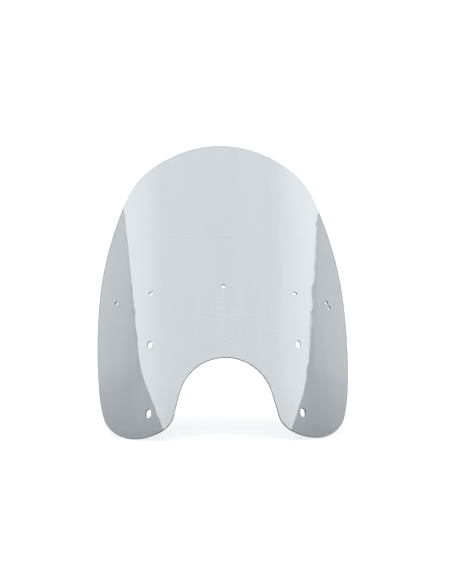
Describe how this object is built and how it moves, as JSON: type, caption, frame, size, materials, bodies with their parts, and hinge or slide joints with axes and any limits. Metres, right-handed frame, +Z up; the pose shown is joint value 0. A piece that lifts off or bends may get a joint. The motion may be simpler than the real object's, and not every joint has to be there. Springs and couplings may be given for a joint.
{
  "type": "motorcycle windshield screen",
  "caption": "One-piece heat-formed clear screen with a wrapped middle, creased swept-back wings, a headlamp cut-out and open mounting holes.",
  "frame": {"origin": "centre of the middle screw hole, half way through the sheet", "axes": "+X to the picture's right, +Y to the rear (rider's side), +Z up; the screen leans back 33 degrees"},
  "size_m": [0.5105, 0.3428, 0.58],
  "materials": {
    "screen": "polished"
  },
  "bodies": {
    "root": {"windshield_screen": "screen"}
  },
  "joints": []
}
